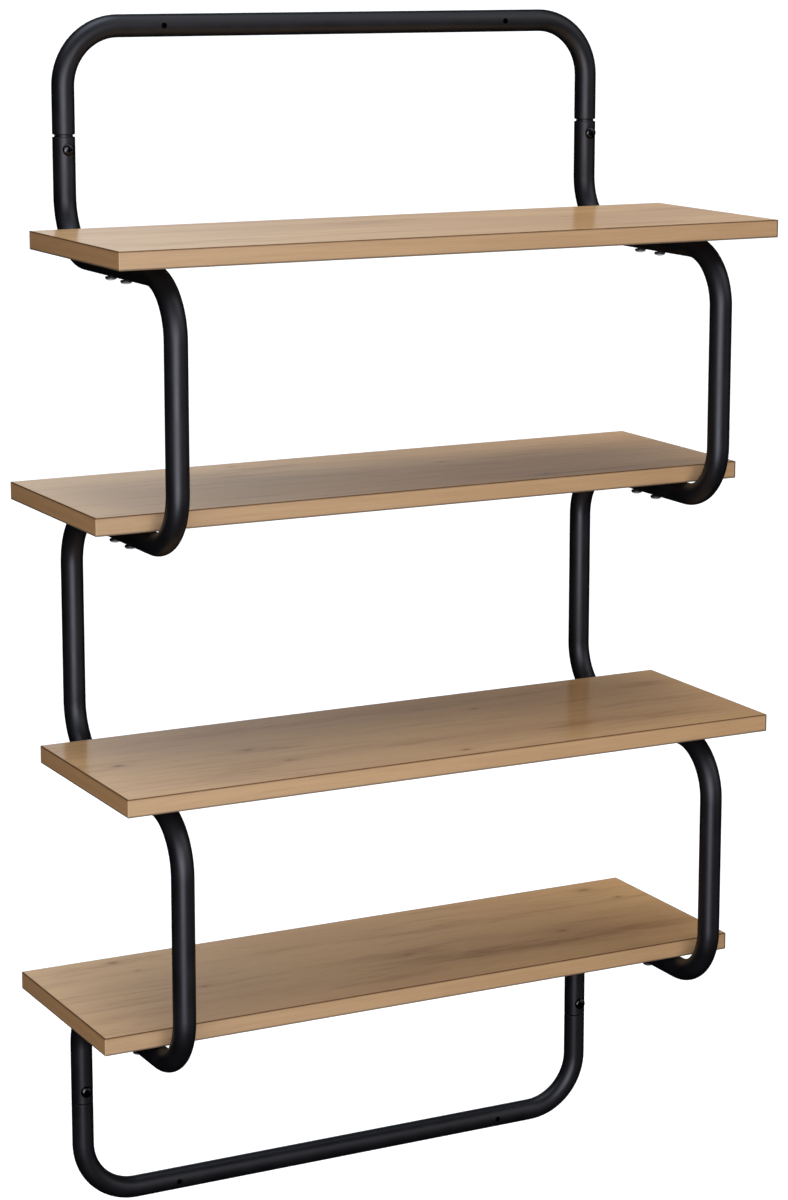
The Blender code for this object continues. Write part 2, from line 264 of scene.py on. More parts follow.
def joint_drill():
    """The joint screws' holes, through the front walls of tube and neck."""
    shape = bmesh.new()
    radius = JOINT_SCREW_SHANK / 2 + SEAT_GAP
    profile = cylinder_profile(radius, -TUBE_RADIUS - CUT_OVERRUN, 0)
    for z in JOINT_Z.values():
        for x in SIDES.values():
            turned(shape, profile, HOLE_SIDES, along_y(x, BACK_AXIS_Y, z))
    return drill_object("joint_drill", shape)


def shelf_drill(number):
    """A board's screw holes, through the tubes below it and into the board."""
    shape = bmesh.new()
    radius = SHELF_SCREW_SHANK / 2 + SEAT_GAP
    low = run_z(number) - TUBE_RADIUS - CUT_OVERRUN
    high = BOARDS[number][1].z - SHELF_SCREW_COVER + SEAT_GAP
    profile = cylinder_profile(radius, low, high)
    for x in SIDES.values():
        for y in screw_rows().values():
            turned(shape, profile, HOLE_SIDES, Matrix.Translation((x, y, 0)))
    return drill_object(f"shelf_drill_{number}", shape)


# Tubes


def centre_line(corners, bend_radius, marks):
    """Stations along a path with rounded corners, closer together around the marked points.

    The stations next to each bend and end keep the smooth shading of the straight parts true.
    """
    bends = []
    for before, corner, after in zip(corners, corners[1:], corners[2:]):
        incoming = (corner - before).normalized()
        outgoing = (after - corner).normalized()
        centre = corner + bend_radius * (outgoing - incoming)
        arc = []
        for step in range(BEND_STEPS + 1):
            turn = math.pi / 2 * step / BEND_STEPS
            point = centre + bend_radius * (math.sin(turn) * incoming - math.cos(turn) * outgoing)
            arc.append((point, math.cos(turn) * incoming + math.sin(turn) * outgoing))
        bends.append(arc)
    start = (corners[0], (corners[1] - corners[0]).normalized())
    end = (corners[-1], (corners[-1] - corners[-2]).normalized())
    stations = []
    for first, second in zip([[start], *bends], [*bends, [end]]):
        stations += first
        begin, way = first[-1]
        length = (second[0][0] - begin).length
        reaches = [END_MARGIN, length - END_MARGIN]
        reaches += [
            (mark - begin).dot(way) + margin
            for mark in marks
            for margin in HOLE_MARGINS
            if ((mark - begin) - (mark - begin).dot(way) * way).length < SEAT_GAP
        ]
        stations += [(begin + reach * way, way) for reach in sorted(reaches) if 0 < reach < length]
    stations.append(end)
    return stations


def tube_mesh(name, stations, side, radii, walls):
    """A hollow tube through stations of (point, direction), with a radius and a wall at each."""
    shape = bmesh.new()
    outer, inner = [], []
    for (point, direction), radius, wall in zip(stations, radii, walls):
        up = direction.cross(side)
        outer.append(ring(shape, point, side, up, radius, TUBE_SIDES))
        inner.append(ring(shape, point, side, up, radius - wall, TUBE_SIDES))
    for rings in (outer, inner):
        for first, second in zip(rings, rings[1:]):
            bridge(shape, first, second)
    bridge(shape, outer[0], inner[0])
    bridge(shape, outer[-1], inner[-1])
    return mesh_of(name, shape)


def side_tube_mesh(x):
    """A serpentine tube in its place, with rounded mouths."""
    corners = [Vector((x, BACK_AXIS_Y, TOP_MOUTH_Z))]
    for number in BOARDS:
        runs = (BACK_AXIS_Y, FRONT_AXIS_Y) if number % 2 else (FRONT_AXIS_Y, BACK_AXIS_Y)
        corners += [Vector((x, y, run_z(number))) for y in runs]
    corners.append(Vector((x, BACK_AXIS_Y, BOTTOM_MOUTH_Z)))
    marks = [Vector((x, BACK_AXIS_Y, z)) for z in JOINT_Z.values()]
    marks += [Vector((x, y, run_z(number))) for number in BOARDS for y in screw_rows().values()]
    stations = centre_line(corners, SIDE_BEND_RADIUS, marks)
    first, last = stations[0], stations[-1]
    stations.insert(1, (first[0] + MOUTH_ROUNDING * first[1], first[1]))
    stations.insert(-1, (last[0] - MOUTH_ROUNDING * last[1], last[1]))
    radii = [TUBE_RADIUS] * len(stations)
    walls = [TUBE_WALL] * len(stations)
    for end in (0, -1):
        radii[end] -= MOUTH_ROUNDING
        walls[end] -= MOUTH_ROUNDING
    return tube_mesh("side_tube_fine", stations, Vector((1, 0, 0)), radii, walls)


def bow_mesh(bar_z, way):
    """A bow in its place. `way` is -1 where its legs point down and 1 where they point up."""
    legs = Vector((0, 0, way))
    tops = [Vector((x, BACK_AXIS_Y, bar_z)) for x in SIDES.values()]
    feet = [top + BOW_LEG_LENGTH * legs for top in tops]
    marks = [Vector((x, BACK_AXIS_Y, bar_z)) for x in (-WALL_HOLE_X, WALL_HOLE_X)]
    stations = centre_line([feet[0], *tops, feet[1]], BOW_BEND_RADIUS, marks)
    radii = [TUBE_RADIUS] * len(stations)
    drop = TUBE_RADIUS - NECK_RADIUS
    shoulder = []
    for step in range(1, DOME_STEPS + 1):
        share = step / DOME_STEPS
        shoulder.append((share * SHOULDER_LENGTH, TUBE_RADIUS - drop * share**SHOULDER_POWER))
    neck = SHOULDER_LENGTH + NECK_LENGTH
    screw = SHOULDER_LENGTH + JOINT_SCREW_SETBACK
    shoulder += [(screw + margin, NECK_RADIUS) for margin in HOLE_MARGINS]
    shoulder += [(neck - MOUTH_ROUNDING, NECK_RADIUS), (neck, NECK_RADIUS - MOUTH_ROUNDING)]
    for reach, radius in shoulder:
        stations.insert(0, (feet[0] + reach * legs, -legs))
        stations.append((feet[1] + reach * legs, legs))
        radii = [radius, *radii, radius]
    walls = [TUBE_WALL] * len(stations)
    return tube_mesh("bow_fine", stations, Vector((0, 1, 0)), radii, walls)


# Boards


def board_mesh(size):
    """A board with its upper face at Z 0, its front at Y 0 and its middle at X 0.

    Slot 0 is the decor on both faces, slot 1 the banded edges and slot 2 the arrises.
    """
    shape = bmesh.new()
    bmesh.ops.create_cube(shape, size=1)
    bmesh.ops.scale(shape, vec=size, verts=shape.verts)
    bmesh.ops.translate(shape, vec=(0, size.y / 2, -size.z / 2), verts=shape.verts)
    bmesh.ops.bevel(
        shape,
        geom=shape.edges[:],
        offset=BOARD_ARRIS,
        segments=ARRIS_STEPS,
        profile=ARRIS_PROFILE_SHARE,
        affect="EDGES",
    )
    shape.normal_update()
    for face in shape.faces:
        if abs(face.normal.z) > FLAT:
            face.material_index = 0
        elif max(abs(part) for part in face.normal) > FLAT:
            face.material_index = 1
        else:
            face.material_index = 2
    return mesh_of("board_fine", shape, smooth=False)


# Screws


def head_profile(diameter, height):
    """Half outline of a pan head whose seat is at Z 0 and whose dome points down."""
    radius = diameter / 2
    rim = height * HEAD_RIM_SHARE
    dome = height - rim
    lip = height * HEAD_LIP_SHARE
    profile = [(0, -height)]
    for step in range(1, DOME_STEPS + 1):
        turn = math.pi / 2 * step / DOME_STEPS
        profile.append((radius * math.sin(turn) ** HEAD_DOME_POWER, -rim - dome * math.cos(turn)))
    return [*profile, (radius, -lip), (radius - lip, 0)]


def recess_drill(diameter, height):
    """A tapered cross that cuts the driver recess."""
    arm = diameter * RECESS_SPAN_SHARE / 2
    slot = diameter * RECESS_SLOT_SHARE / 2
    foot = -height * (1 - RECESS_DEPTH_SHARE)
    outline = []
    for quarter in range(4):
        turn = Matrix.Rotation(quarter * math.pi / 2, 2)
        outline += [turn @ Vector(point) for point in ((arm, -slot), (arm, slot), (slot, slot))]
    shape = bmesh.new()
    levels = ((-height - CUT_OVERRUN, 1), (-height, 1), (foot, RECESS_FOOT_SHARE))
    rings = [
        [shape.verts.new((point.x * size, point.y * size, z)) for point in outline]
        for z, size in levels
    ]
    for first, second in zip(rings, rings[1:]):
        bridge(shape, first, second)
    shape.faces.new(rings[0])
    shape.faces.new(rings[-1])
    return drill_object("recess_drill", shape)


def screw_mesh(name, head, height, shank, length, pointed):
    """A screw along Z, with its seat at Z 0 and its shank above."""
    shape = bmesh.new()
    point = shank * POINT_LENGTH_SHARE if pointed else 0
    tail = [(shank / 2, 0), (shank / 2, length - point), (0, length)]
    turned(shape, head_profile(head, height) + tail, HEAD_SIDES, Matrix.Identity(4))
    blank = link(name, mesh_of(name, shape))
    recess = recess_drill(head, height)
    mesh = cut(blank, recess).data
    bpy.data.objects.remove(blank)
    bpy.data.objects.remove(recess)
    return mesh


# Shader helpers


def node(tree, kind, inputs=None, **settings):
    """A node with its settings and with inputs that are values or other nodes' outputs."""
    made = tree.nodes.new(kind)
    for key, value in settings.items():
        setattr(made, key, value)
    for key, value in (inputs or {}).items():
        if isinstance(value, bpy.types.NodeSocket):
            tree.links.new(value, made.inputs[key])
        else:
            made.inputs[key].default_value = value
    return made


def calc(tree, operation, *values):
    """The result of a sum on values or outputs."""
    inputs = dict(enumerate(values))
    return node(tree, "ShaderNodeMath", inputs, operation=operation).outputs[0]


def remap(tree, value, low, high, to_low=0.0, to_high=1.0, smooth=True):
    """A value taken from the range low to high into the range to_low to to_high."""
    kind = "SMOOTHSTEP" if smooth else "LINEAR"
    inputs = {"Value": value, "From Min": low, "From Max": high, "To Min": to_low, "To Max": to_high}
    return node(tree, "ShaderNodeMapRange", inputs, interpolation_type=kind).outputs[0]


def blend(tree, share, first, second, how="MIX"):
    """Mixes two colours, where a share of 0 gives the first."""
    made = node(tree, "ShaderNodeMix", data_type="RGBA", blend_type=how, clamp_factor=True)
    for socket, value in zip([made.inputs[0], made.inputs[6], made.inputs[7]], (share, first, second)):
        if isinstance(value, bpy.types.NodeSocket):
            tree.links.new(value, socket)
        else:
            socket.default_value = value if isinstance(value, float) else (*value, 1)
    return made.outputs[2]


def grain_noise(tree, x, y, z, layer, seed=0.0):
    """One of the noise layers. Each place on the surface gives it a value round 0.5."""
    scales, detail, roughness, own_seed = LAYERS[layer]
    axes = zip((x, y, z), scales)
    at = [calc(tree, "MULTIPLY_ADD", value, scale, seed + own_seed) for value, scale in axes]
    vector = node(tree, "ShaderNodeCombineXYZ", {"X": at[0], "Y": at[1], "Z": at[2]}).outputs[0]
    inputs = {"Vector": vector, "Scale": 1.0, "Detail": detail, "Roughness": roughness}
    return node(tree, "ShaderNodeTexNoise", inputs).outputs[0]


def new_material(name):
    """An empty material, with its node tree and shader."""
    material = bpy.data.materials.new(name)
    material.use_nodes = True
    tree = material.node_tree
    tree.nodes.clear()
    shader = tree.nodes.new("ShaderNodeBsdfPrincipled")
    output = tree.nodes.new("ShaderNodeOutputMaterial")
    tree.links.new(shader.outputs[0], output.inputs[0])
    return material, tree, shader


def local_axes(tree):
    """The place on the piece along its own X, Y and Z, in metres."""
    place = node(tree, "ShaderNodeTexCoord").outputs["Object"]
    split = node(tree, "ShaderNodeSeparateXYZ", {"Vector": place})
    return split.outputs[0], split.outputs[1], split.outputs[2]


def bump(tree, height, strength, distance):
    """The shader's normal, tilted by a relief."""
    inputs = {"Strength": strength, "Distance": distance, "Height": height}
    return node(tree, "ShaderNodeBump", inputs).outputs[0]


# Colours of the boards
DECOR_LIGHT = (0.765, 0.455, 0.210)
DECOR_MIDDLE = (0.675, 0.388, 0.178)
DECOR_DARK = (0.43, 0.215, 0.080)
DECOR_KNOT = (0.29, 0.135, 0.048)
BAND_LIGHT = (0.428, 0.271, 0.150)
BAND_DARK = (0.341, 0.209, 0.112)
# A dark line along the top edges
TOP_EDGE_LINE = (0.100, 0.045, 0.016)
# Painted shade along the lower and far edges
EDGE_SHADE = (0.13, 0.09, 0.06)
BLACK = (0.0, 0.0, 0.0)

# Tints that multiply a board's colours
BAND_END = (1.16, 0.98, 0.79)  # the banding of the two short ends
# Painted light: cooler towards the left end, warmer towards the right
LEFT_LIGHT_TINT = (0.96, 1.01, 1.09)  # everything towards the left
RIGHT_LIGHT_TINT = (1.01, 0.98, 0.93)  # everything towards the right

# Colours of the metal. A pair holds the plain colour and the stained one
COAT_COLOURS = ((0.0030, 0.0030, 0.0038), (0.0045, 0.0045, 0.0055))
COAT_TINT = (0.85, 0.86, 1, 1)
ZINC_LIGHT = (0.90, 0.90, 0.94)
ZINC_STAIN = (0.68, 0.68, 0.72)
# Painted shade towards the seat of the shelf screws' heads
ZINC_SEAT_SHADE = (0.020, 0.020, 0.026)
BLACK_ZINC_COLOURS = ((0.036, 0.036, 0.040), (0.025, 0.025, 0.028))
STEEL_COLOURS = ((0.50, 0.50, 0.52), (0.30, 0.30, 0.31))

# Noise layers: features per metre along X, Y and Z, detail, roughness and seed
LAYERS = {
    "decor_drift": ((3.5, 7.0, 4.0), 2.0, 0.5, 0.0),
    "decor_wobble_x": ((22.0, 60.0, 20.0), 3.0, 0.6, 2.3),
    "decor_wobble_y": ((14.0, 50.0, 20.0), 3.0, 0.6, 8.9),
    "decor_broad": ((2.6, 14.0, 3.0), 4.0, 0.55, 7.7),
    "decor_streak": ((9.0, 110.0, 10.0), 4.0, 0.62, 5.3),
    "decor_fleck": ((42.0, 420.0, 40.0), 3.0, 0.6, 4.1),
    "decor_fibre": ((60.0, 1700.0, 50.0), 3.0, 0.6, 1.9),
    "band_fine": ((26.0, 26.0, 1500.0), 4.0, 0.65, 2.0),
    "band_wide": ((7.0, 7.0, 260.0), 3.0, 0.6, 9.0),
    "band_speck": ((500.0, 500.0, 900.0), 2.0, 0.5, 4.0),
    "arris_uneven": ((60.0, 60.0, 900.0), 3.0, 0.6, 6.0),
    "coat_peel": ((900.0, 900.0, 900.0), 2.0, 0.5, 1.0),
    "coat_cloud": ((45.0, 45.0, 45.0), 3.0, 0.5, 5.0),
    "plate_stain": ((700.0, 700.0, 700.0), 3.0, 0.6, 3.0),
    "plate_scratch": ((400.0, 400.0, 6000.0), 2.0, 0.5, 8.0),
}

# Where each layer of the decor starts to darken it and where it does so fully, and how much
DECOR_SHADES = {
    "decor_streak": (0.48, 0.78, 0.38),
    "decor_fleck": (0.55, 0.80, 0.28),
    "decor_fibre": (0.50, 0.80, 0.20),
}
BROAD_RANGE = (0.36, 0.64)  # from the light to the middle colour
GRAIN_DRIFT = 0.035  # how far the grain's lines wander
FIBRE_RANGE = (0.3, 0.8)
DECOR_ROUGHNESS = (0.19, 0.26)
DECOR_GLOSS = 0.45

# Smudges: how far their outline is pushed about, their size, and how far the grain breaks them up
SMUDGE_PUSH_X = 0.080
SMUDGE_PUSH_Y = 0.030
SMUDGE_SPREAD = 1.35
SMUDGE_BASE = 0.34
SMUDGE_GRAIN = 0.42
SMUDGE_STREAK_RANGE = (0.35, 0.65)
SMUDGE_FLECK_RANGE = (0.45, 0.70)

# Knots: reach along X and Y, in radii, of the bent grain, of the dark core and of the halo round it
KNOT_BEND_REACH = (7, 3)
KNOT_CORE_REACH = (1.7, 1)
KNOT_HALO_REACH = (5, 2.2)
KNOT_BEND = 0.8
KNOT_HALO = 0.35

# Edge lines, a dark one along the top edges and painted shade along the lower and far ones: width, share
# of their colour on the decor and on the banding, and roughness
RIM_WIDTH = 0.0010
LOW_SHADE_WIDTH = 1.4 * RIM_WIDTH
DECOR_RIM = 0.8
BAND_RIM = 0.6
RIM_ROUGHNESS = 0.6
UNDERSIDE_SHADE = 0.7  # share of black on the underside

# The banding: range and share of each layer of its dark grain
BAND_SHADES = {
    "band_fine": (0.35, 0.68, 0.50),
    "band_wide": (0.35, 0.68, 0.35),
    "band_speck": (0.45, 0.80, 0.18),
}
BAND_ROUGHNESS = (0.30, 0.40)

# The arrises
ARRIS_RANGE = (0.45, 0.75)
ARRIS_GRAIN = 0.25
ARRIS_ROUGHNESS = 0.45
ARRIS_GLOSS = 0.2

# The powder coat: its gloss falls from the middle of a tube towards its outline
COAT_ROUGHNESS = (0.39, 0.45)
COAT_GLOSS = (0.42, 0.06)
COAT_PLAIN_GLOSS = 0.3  # for a viewer that leaves out the fall
COAT_GLOSS_RANGE = (0.35, 0.95)

# The plated screws and the steel nuts
ZINC_METALLIC = 0.3
ZINC_ROUGHNESS = (0.45, 0.60)
# Painted shade on the shelf screws' heads: where it begins and where it is full
ZINC_SHADE_SHARES = (-0.75, -0.35)  # of the head's height, where its dark seat begins and is full
BLACK_ZINC_ROUGHNESS = 0.10
STEEL_ROUGHNESS = 0.38
ROUGHNESS_SPREAD = (0.8, 1.25)  # shares of a metal's own roughness

# The relief: height, and how strongly it shows on each finish
RELIEF = 0.0002
PLATE_RELIEF = 0.0001
DECOR_BUMP = 0.03
BAND_BUMP = 0.10
COAT_BUMP = 0.05
PLATE_BUMP = 0.05

# Ranges of a noise layer's values that a finish runs over
MIDDLE_RANGE = (0.3, 0.7)
STAIN_RANGE = (0.35, 0.7)


# Materials


def spot(tree, x, y, at_x, at_y, length, width):
    """A soft ellipse that is 1 at its middle."""
    across = calc(tree, "MULTIPLY", calc(tree, "SUBTRACT", x, at_x), 1 / length)
    along = calc(tree, "MULTIPLY", calc(tree, "SUBTRACT", y, at_y), 1 / width)
    away = calc(tree, "MULTIPLY_ADD", across, across, calc(tree, "MULTIPLY", along, along))
    return calc(tree, "EXPONENT", calc(tree, "MULTIPLY", away, -1.0))


def moved(tree, place, noise, reach):
    """A place along an axis, pushed to and fro by a noise layer."""
    return calc(tree, "MULTIPLY_ADD", calc(tree, "SUBTRACT", noise, 0.5), reach, place)


def shaded(tree, start, noises, shades):
    """Adds up how far noise layers darken a surface. A shade is (low, high, share), one for each."""
    total = start
    for noise, (low, high, share) in zip(noises, shades.values()):
        total = calc(tree, "MULTIPLY_ADD", remap(tree, noise, low, high), share, total)
    total.node.use_clamp = True
    return total


def painted_light_tint(tree, x, colour):
    """Painted light: a little cooler towards a board's left end and warmer towards its right."""
    along = remap(tree, x, -BOARD_SIZE.x / 2, BOARD_SIZE.x / 2, smooth=False)
    return blend(tree, 1.0, colour, blend(tree, along, LEFT_LIGHT_TINT, RIGHT_LIGHT_TINT), "MULTIPLY")


def knotted_grain(tree, x, y, z, seed, knots):
    """The grain's lines, which flow round the knots, and how far the knots darken the decor."""
    line = moved(tree, y, grain_noise(tree, x, y, z, "decor_drift", seed), GRAIN_DRIFT)
    core = 0.0
    for knot_x, knot_y, radius, darkness in knots:
        bent, centre, halo = [
            spot(tree, x, y, knot_x, knot_y, radius * length, radius * width)
            for length, width in (KNOT_BEND_REACH, KNOT_CORE_REACH, KNOT_HALO_REACH)
        ]
        off = calc(tree, "SUBTRACT", y, knot_y)
        line = calc(tree, "MULTIPLY_ADD", calc(tree, "MULTIPLY", off, bent), -KNOT_BEND, line)
        shade = calc(tree, "MULTIPLY_ADD", halo, KNOT_HALO, centre)
        core = calc(tree, "MAXIMUM", calc(tree, "MULTIPLY", shade, darkness), core)
    return line, core


def smoky_streaks(tree, x, y, z, seed, smudges, streak, fleck):
    """How far the smudges darken the decor. Their outlines are ragged and the grain breaks them up."""
    spot_x = moved(tree, x, grain_noise(tree, x, y, z, "decor_wobble_x", seed), SMUDGE_PUSH_X)
    spot_y = moved(tree, y, grain_noise(tree, x, y, z, "decor_wobble_y", seed), SMUDGE_PUSH_Y)
    smoke = 0.0
    for at_x, at_y, length, width, darkness in smudges:
        soft = spot(tree, spot_x, spot_y, at_x, at_y, length * SMUDGE_SPREAD, width * SMUDGE_SPREAD)
        smoke = calc(tree, "MULTIPLY_ADD", soft, darkness, smoke)
    broken_streak = remap(tree, streak, *SMUDGE_STREAK_RANGE)
    broken_fleck = remap(tree, fleck, *SMUDGE_FLECK_RANGE)
    broken = calc(tree, "ADD", broken_streak, broken_fleck)
    return calc(tree, "MULTIPLY", smoke, calc(tree, "MULTIPLY_ADD", broken, SMUDGE_GRAIN, SMUDGE_BASE))


def decor_rims(tree, x, y):
    """Shares of the decor's edge lines: dark at the left and front, painted shade at the right and back.
    """
    from_left = calc(tree, "ADD", x, BOARD_SIZE.x / 2)
    from_right = calc(tree, "SUBTRACT", BOARD_SIZE.x / 2, x)
    from_back = calc(tree, "SUBTRACT", BOARD_SIZE.y, y)
    return [
        remap(tree, inset, BOARD_ARRIS, BOARD_ARRIS + RIM_WIDTH, DECOR_RIM, 0.0)
        for inset in (calc(tree, "MINIMUM", from_left, y), calc(tree, "MINIMUM", from_right, from_back))
    ]


def decor_material(number, seed, tone_and_light, smudges, knots):
    """Oak decor: grain along X, smoky streaks, and knots that the grain flows round.

    A smudge is (x, y, length, width, darkness) and a knot (x, y, radius, darkness), in metres.
    """
    # Each board's tone: partly its own, partly painted light, lighter on the top board
    pale, middle, dark = [
        [tone_and_light * level for level in colour] for colour in (DECOR_LIGHT, DECOR_MIDDLE, DECOR_DARK)
    ]
    material, tree, shader = new_material(f"oak_decor_{number}")
    x, y, z = local_axes(tree)
    line, core = knotted_grain(tree, x, y, z, seed, knots)
    broad = grain_noise(tree, x, line, z, "decor_broad", seed)
    streak, fleck, fibre = [grain_noise(tree, x, line, z, layer, seed) for layer in DECOR_SHADES]
    smoke = smoky_streaks(tree, x, y, z, seed, smudges, streak, fleck)
    shade = shaded(tree, smoke, (streak, fleck, fibre), DECOR_SHADES)
    colour = blend(tree, remap(tree, broad, *BROAD_RANGE), pale, middle)
    colour = blend(tree, shade, colour, dark)
    # Painted light: cooler towards the left end, warmer towards the right
    colour = painted_light_tint(tree, x, blend(tree, core, colour, DECOR_KNOT))
    # A dark line along the left and front top edges, painted shade along the right and back ones
    near_rim, far_edge_shade = decor_rims(tree, x, y)
    colour = blend(tree, near_rim, colour, TOP_EDGE_LINE)
    colour = blend(tree, far_edge_shade, colour, EDGE_SHADE)
    bottom = -BOARD_SIZE.z
    below = remap(tree, z, bottom + BOARD_ARRIS, bottom + BOARD_ARRIS / 2, 0.0, UNDERSIDE_SHADE)
    colour = blend(tree, below, colour, BLACK)
    tree.links.new(colour, shader.inputs["Base Color"])
    rough = remap(tree, fibre, *FIBRE_RANGE, *DECOR_ROUGHNESS, smooth=False)
    rim = calc(tree, "MAXIMUM", near_rim, far_edge_shade)
    rough = calc(tree, "MAXIMUM", rough, calc(tree, "MULTIPLY", rim, RIM_ROUGHNESS))
    tree.links.new(rough, shader.inputs["Roughness"])
    tree.links.new(bump(tree, fibre, DECOR_BUMP, RELIEF), shader.inputs["Normal"])
    shader.inputs["Specular IOR Level"].default_value = DECOR_GLOSS
    return material


def band_material():
    """The banded edges: lighter, with fine straight grain along each edge."""
    material, tree, shader = new_material("oak_edge_band")
    x, y, z = local_axes(tree)
    fine, wide, speck = [grain_noise(tree, x, y, z, layer) for layer in BAND_SHADES]
    share = shaded(tree, 0.0, (fine, wide, speck), BAND_SHADES)
    # Painted light: cooler towards the left end, warmer towards the right
    colour = painted_light_tint(tree, x, blend(tree, share, BAND_LIGHT, BAND_DARK))
    end = BOARD_SIZE.x / 2
    at_end = remap(tree, calc(tree, "ABSOLUTE", x), end - BOARD_ARRIS, end)
    colour = blend(tree, at_end, colour, blend(tree, 1.0, colour, BAND_END, "MULTIPLY"))
    rim = remap(tree, z, -BOARD_ARRIS - RIM_WIDTH, -BOARD_ARRIS, 0.0, BAND_RIM)
    colour = blend(tree, rim, colour, TOP_EDGE_LINE)
    # Painted shade along the lower edge and the right end
    low = BOARD_ARRIS - BOARD_SIZE.z
    low_edge_shade = remap(tree, z, low, low + LOW_SHADE_WIDTH, 1.0, 0.0)
    right = end - BOARD_ARRIS - RIM_WIDTH
    right_edge_shade = remap(tree, x, right - RIM_WIDTH / 2, right + RIM_WIDTH / 2)
    on_front = calc(tree, "LESS_THAN", x, end - BOARD_ARRIS / 2)
    right_edge_shade = calc(tree, "MULTIPLY", right_edge_shade, on_front)
    colour = blend(tree, calc(tree, "MAXIMUM", low_edge_shade, right_edge_shade), colour, EDGE_SHADE)
    tree.links.new(colour, shader.inputs["Base Color"])
    rough = remap(tree, fine, *MIDDLE_RANGE, *BAND_ROUGHNESS, smooth=False)
    tree.links.new(rough, shader.inputs["Roughness"])
    tree.links.new(bump(tree, fine, BAND_BUMP, RELIEF), shader.inputs["Normal"])
    return material


def arris_material():
    """Rounded edges: a thin brown line round the top, greyer painted shade below and on the far edges.
    """
    material, tree, shader = new_material("oak_arris")
    x, y, z = local_axes(tree)
    uneven = grain_noise(tree, x, y, z, "arris_uneven")
    upper = remap(tree, z, -2 * BOARD_ARRIS, -BOARD_ARRIS)
    lower = remap(tree, z, BOARD_ARRIS - BOARD_SIZE.z, 2 * BOARD_ARRIS - BOARD_SIZE.z, 1.0, 0.0)
    right = calc(tree, "GREATER_THAN", x, BOARD_SIZE.x / 2 - BOARD_ARRIS)
    back = calc(tree, "GREATER_THAN", y, BOARD_SIZE.y - BOARD_ARRIS)
    far = calc(tree, "MAXIMUM", right, back)
    # Painted light on the banding colour: cooler to the left, warmer to the right
    edge_line_and_shade = blend(tree, upper, painted_light_tint(tree, x, BAND_LIGHT), TOP_EDGE_LINE)
    # Painted shade below and along the far edges
    edge_line_and_shade = blend(tree, calc(tree, "MAXIMUM", lower, far), edge_line_and_shade, EDGE_SHADE)
    colour = blend(tree, remap(tree, uneven, *ARRIS_RANGE, 0.0, ARRIS_GRAIN), edge_line_and_shade, BAND_DARK)
    tree.links.new(colour, shader.inputs["Base Color"])
    shader.inputs["Roughness"].default_value = ARRIS_ROUGHNESS
    shader.inputs["Specular IOR Level"].default_value = ARRIS_GLOSS
    return material


def coat_material():
    """Black powder coat: satin, with a fine orange peel."""
    material, tree, shader = new_material("black_powder_coat_fine")
    x, y, z = local_axes(tree)
    peel = grain_noise(tree, x, y, z, "coat_peel")
    cloud = grain_noise(tree, x, y, z, "coat_cloud")
    colour = blend(tree, remap(tree, cloud, *MIDDLE_RANGE), *COAT_COLOURS)
    tree.links.new(colour, shader.inputs["Base Color"])
    rough = remap(tree, cloud, *MIDDLE_RANGE, *COAT_ROUGHNESS, smooth=False)
    tree.links.new(rough, shader.inputs["Roughness"])
    tree.links.new(bump(tree, peel, COAT_BUMP, RELIEF), shader.inputs["Normal"])
    facing = node(tree, "ShaderNodeLayerWeight", {"Blend": 0.5}).outputs["Facing"]
    level = remap(tree, facing, *COAT_GLOSS_RANGE, *COAT_GLOSS)
    shader.inputs["Specular IOR Level"].default_value = COAT_PLAIN_GLOSS
    tree.links.new(level, shader.inputs["Specular IOR Level"])
    shader.inputs["Specular Tint"].default_value = COAT_TINT
    return material


def metal_material(name, light, stained, roughness, metallic):
    """Metal with faint turning marks and stains. Also gives its tree, its shader and its colour."""
    material, tree, shader = new_material(name)
    x, y, z = local_axes(tree)
    stain = grain_noise(tree, x, y, z, "plate_stain")
    scratch = grain_noise(tree, x, y, z, "plate_scratch")
    colour = blend(tree, remap(tree, stain, *STAIN_RANGE), light, stained)
    tree.links.new(colour, shader.inputs["Base Color"])
    rough = remap(tree, scratch, *MIDDLE_RANGE, *roughness, smooth=False)
    tree.links.new(rough, shader.inputs["Roughness"])
    tree.links.new(bump(tree, scratch, PLATE_BUMP, PLATE_RELIEF), shader.inputs["Normal"])
    shader.inputs["Metallic"].default_value = metallic
    return material, tree, shader, colour


def bright_zinc_material():
    """Zinc plate of the shelf screws: bright on the dome, with painted shade towards its seat on the
    tube.
    """
    material, tree, shader, plate = metal_material(
        "bright_zinc_fine", ZINC_LIGHT, ZINC_STAIN, ZINC_ROUGHNESS, ZINC_METALLIC
    )
    z = local_axes(tree)[2]
    # Painted shade: the head darkens towards its seat on the tube
    seat = remap(tree, z, *[share * SHELF_SCREW_HEAD_HEIGHT for share in ZINC_SHADE_SHARES])
    tree.links.new(blend(tree, seat, plate, ZINC_SEAT_SHADE), shader.inputs["Base Color"])
    return material


def black_zinc_material():
    """Black plate of the joint screws. Its black tint keeps it dark towards the outline of the head."""
    roughness = [share * BLACK_ZINC_ROUGHNESS for share in ROUGHNESS_SPREAD]
    material, _, shader, _ = metal_material("black_zinc_fine", *BLACK_ZINC_COLOURS, roughness, 1.0)
    shader.inputs["Specular Tint"].default_value = (*BLACK, 1)
    return material


def steel_material():
    """Bare steel of the nuts."""
    roughness = [share * STEEL_ROUGHNESS for share in ROUGHNESS_SPREAD]
    return metal_material("plain_steel_fine", *STEEL_COLOURS, roughness, 1.0)[0]


# Pieces


